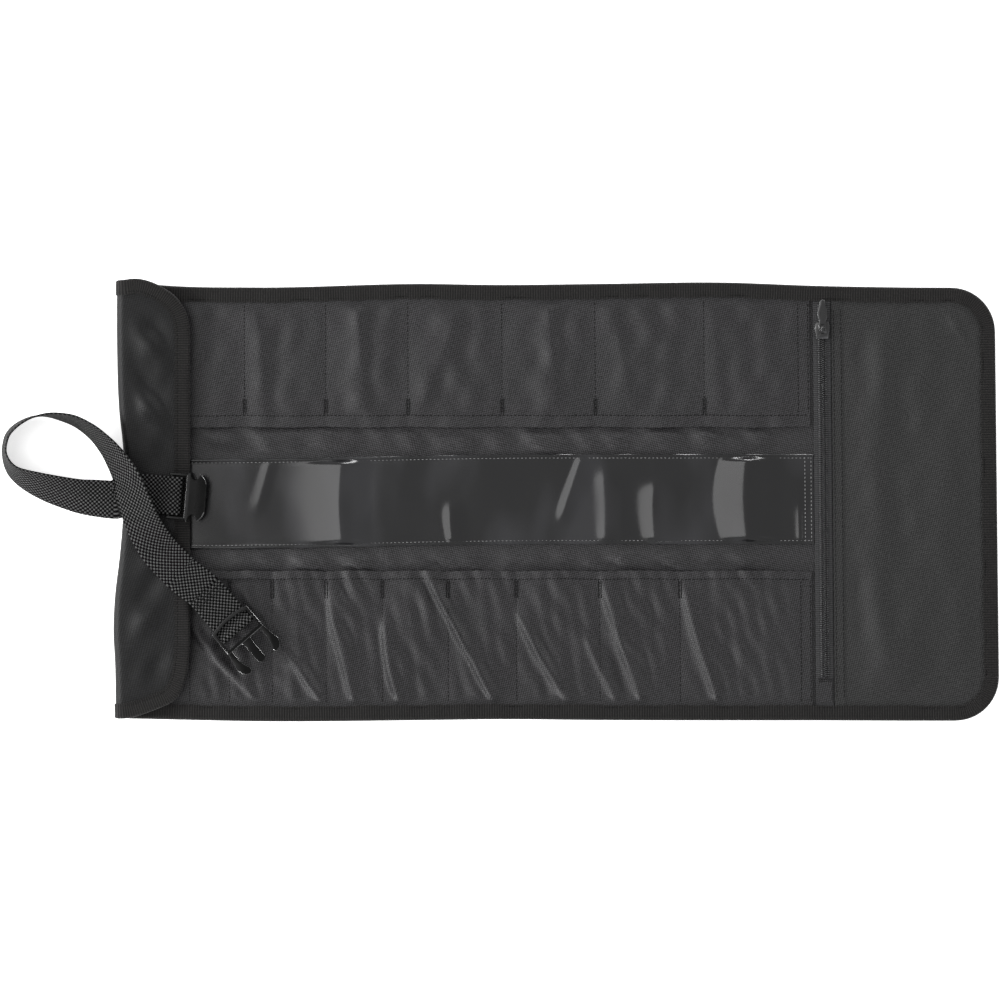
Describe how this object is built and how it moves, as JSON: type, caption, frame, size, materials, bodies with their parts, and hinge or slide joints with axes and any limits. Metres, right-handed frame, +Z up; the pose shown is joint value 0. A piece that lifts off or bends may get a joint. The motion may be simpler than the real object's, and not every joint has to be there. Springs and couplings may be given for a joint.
{
  "type": "roll-up tool bag",
  "caption": "Soft roll-up tool bag lying open: two rows of slip pockets, a clear window, a zipped end pocket, a folded-over end flap, and a loose strap with a side-release buckle.",
  "frame": {"origin": "under the middle of the whole object's outline, strap loop included, on the surface that it lies on", "axes": "+X along the opened bag from the folded flap to the zipped end, +Y across it towards the row of wide pockets, +Z up"},
  "size_m": [0.6789, 0.301, 0.0317],
  "materials": {
    "flap_cloth": "fine woven polyester, dull",
    "pocket_cloth": "fine woven polyester, dull",
    "binding_tape": "ribbed grosgrain tape",
    "webbing": "ribbed webbing",
    "clear_film": "clear glossy film",
    "zip_cloth": "knitted zip tape",
    "zip_plastic": "nylon coil",
    "zip_metal": "black painted casting",
    "buckle_plastic": "moulded, half gloss"
  },
  "bodies": {
    "bag": {"outer_shell": "flap_cloth", "shell_fold": "flap_cloth", "end_flap": "flap_cloth", "binding_bottom": "binding_tape", "binding_end": "binding_tape", "binding_top": "binding_tape", "binding_top_fold": "binding_tape", "binding_flap": "binding_tape", "binding_bottom_fold": "binding_tape", "upper_pocket_row": "pocket_cloth", "lower_pocket_row": "pocket_cloth", "clear_window": "clear_film", "zip_pocket_panel": "pocket_cloth", "zip_tape": "zip_cloth", "zip_coil": "zip_plastic", "zip_stop_patch": "pocket_cloth", "zip_slider": "zip_metal", "strap": "webbing", "buckle_socket": "buckle_plastic", "buckle_plug": "buckle_plastic"},
    "zip_pull": {"zip_pull": "zip_metal"}
  },
  "joints": [
    {"name": "zip_pull_hinge", "type": "hinge", "parent": "bag", "child": "zip_pull", "pos_m": [0.21894, 0.1155, 0.0082], "axis": [1, 0, 0], "range_deg": [0, 170]}
  ]
}
